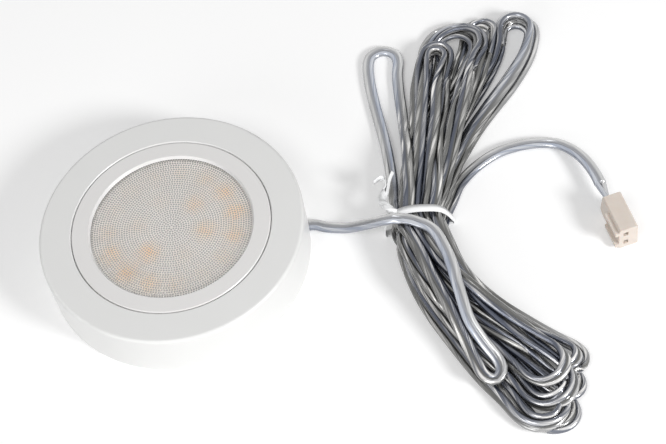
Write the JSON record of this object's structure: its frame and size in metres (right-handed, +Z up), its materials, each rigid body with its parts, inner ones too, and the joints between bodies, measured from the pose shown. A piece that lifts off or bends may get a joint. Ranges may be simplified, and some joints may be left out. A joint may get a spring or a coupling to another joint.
{
  "type": "led spotlight",
  "caption": "Round surface-mounted LED spotlight: flush bezel and prismatic lens in a white ring, with a flat clear two-core lead wound and tied, ending in a crimp connector.",
  "frame": {"origin": "centre of the surface ring's underside, on the mounting surface", "axes": "+Z up through the lens, +X towards the lead's outlet in the ring's wall"},
  "size_m": [0.1741, 0.1482, 0.016],
  "materials": {
    "ring_white": "satin white moulded plastic",
    "plate_white": "plain white moulded plastic",
    "bezel_white": "satin white moulded plastic",
    "prism_lens": "clear acrylic with rings of small prisms",
    "reflector_white": "white reflector plastic",
    "board_white": "white solder mask",
    "back_aluminium": "plain sheet",
    "led_case": "white case with yellow phosphor",
    "chip_black": "black moulded package",
    "screw_steel": "zinc plated",
    "spring_steel": "spring strip",
    "lead_clear": "clear jacket over tinned strands",
    "tie_white": "white plastic ribbon tie",
    "connector_cream": "cream nylon",
    "contact_brass": "bright brass"
  },
  "bodies": {
    "root": {"surface_ring": "ring_white", "mounting_plate": "plate_white", "bezel": "bezel_white", "lens": "prism_lens", "reflector_tray": "reflector_white", "led_board": "board_white", "back_plate": "back_aluminium", "rectifier": "chip_black", "board_screws": "screw_steel", "clip_1": "spring_steel", "clip_2": "spring_steel", "clip_3": "spring_steel", "lead_clamp": "plate_white", "clamp_screws": "screw_steel", "wire_left": "lead_clear", "wire_right": "lead_clear", "lead": "lead_clear", "wound_lead": "lead_clear", "lead_tail": "lead_clear", "wire_tie": "tie_white", "connector": "connector_cream", "contact_lower": "contact_brass", "contact_upper": "contact_brass", "led_1": "led_case", "led_2": "led_case", "led_3": "led_case", "led_4": "led_case", "led_5": "led_case", "led_6": "led_case", "led_7": "led_case", "led_8": "led_case", "led_9": "led_case", "led_10": "led_case", "led_11": "led_case", "led_12": "led_case", "led_13": "led_case", "led_14": "led_case", "led_15": "led_case", "led_16": "led_case", "led_17": "led_case", "led_18": "led_case", "led_19": "led_case", "led_20": "led_case", "led_21": "led_case", "resistor_1": "chip_black", "resistor_2": "chip_black", "resistor_3": "chip_black", "resistor_4": "chip_black", "resistor_5": "chip_black", "resistor_6": "chip_black", "resistor_7": "chip_black"}
  },
  "joints": []
}
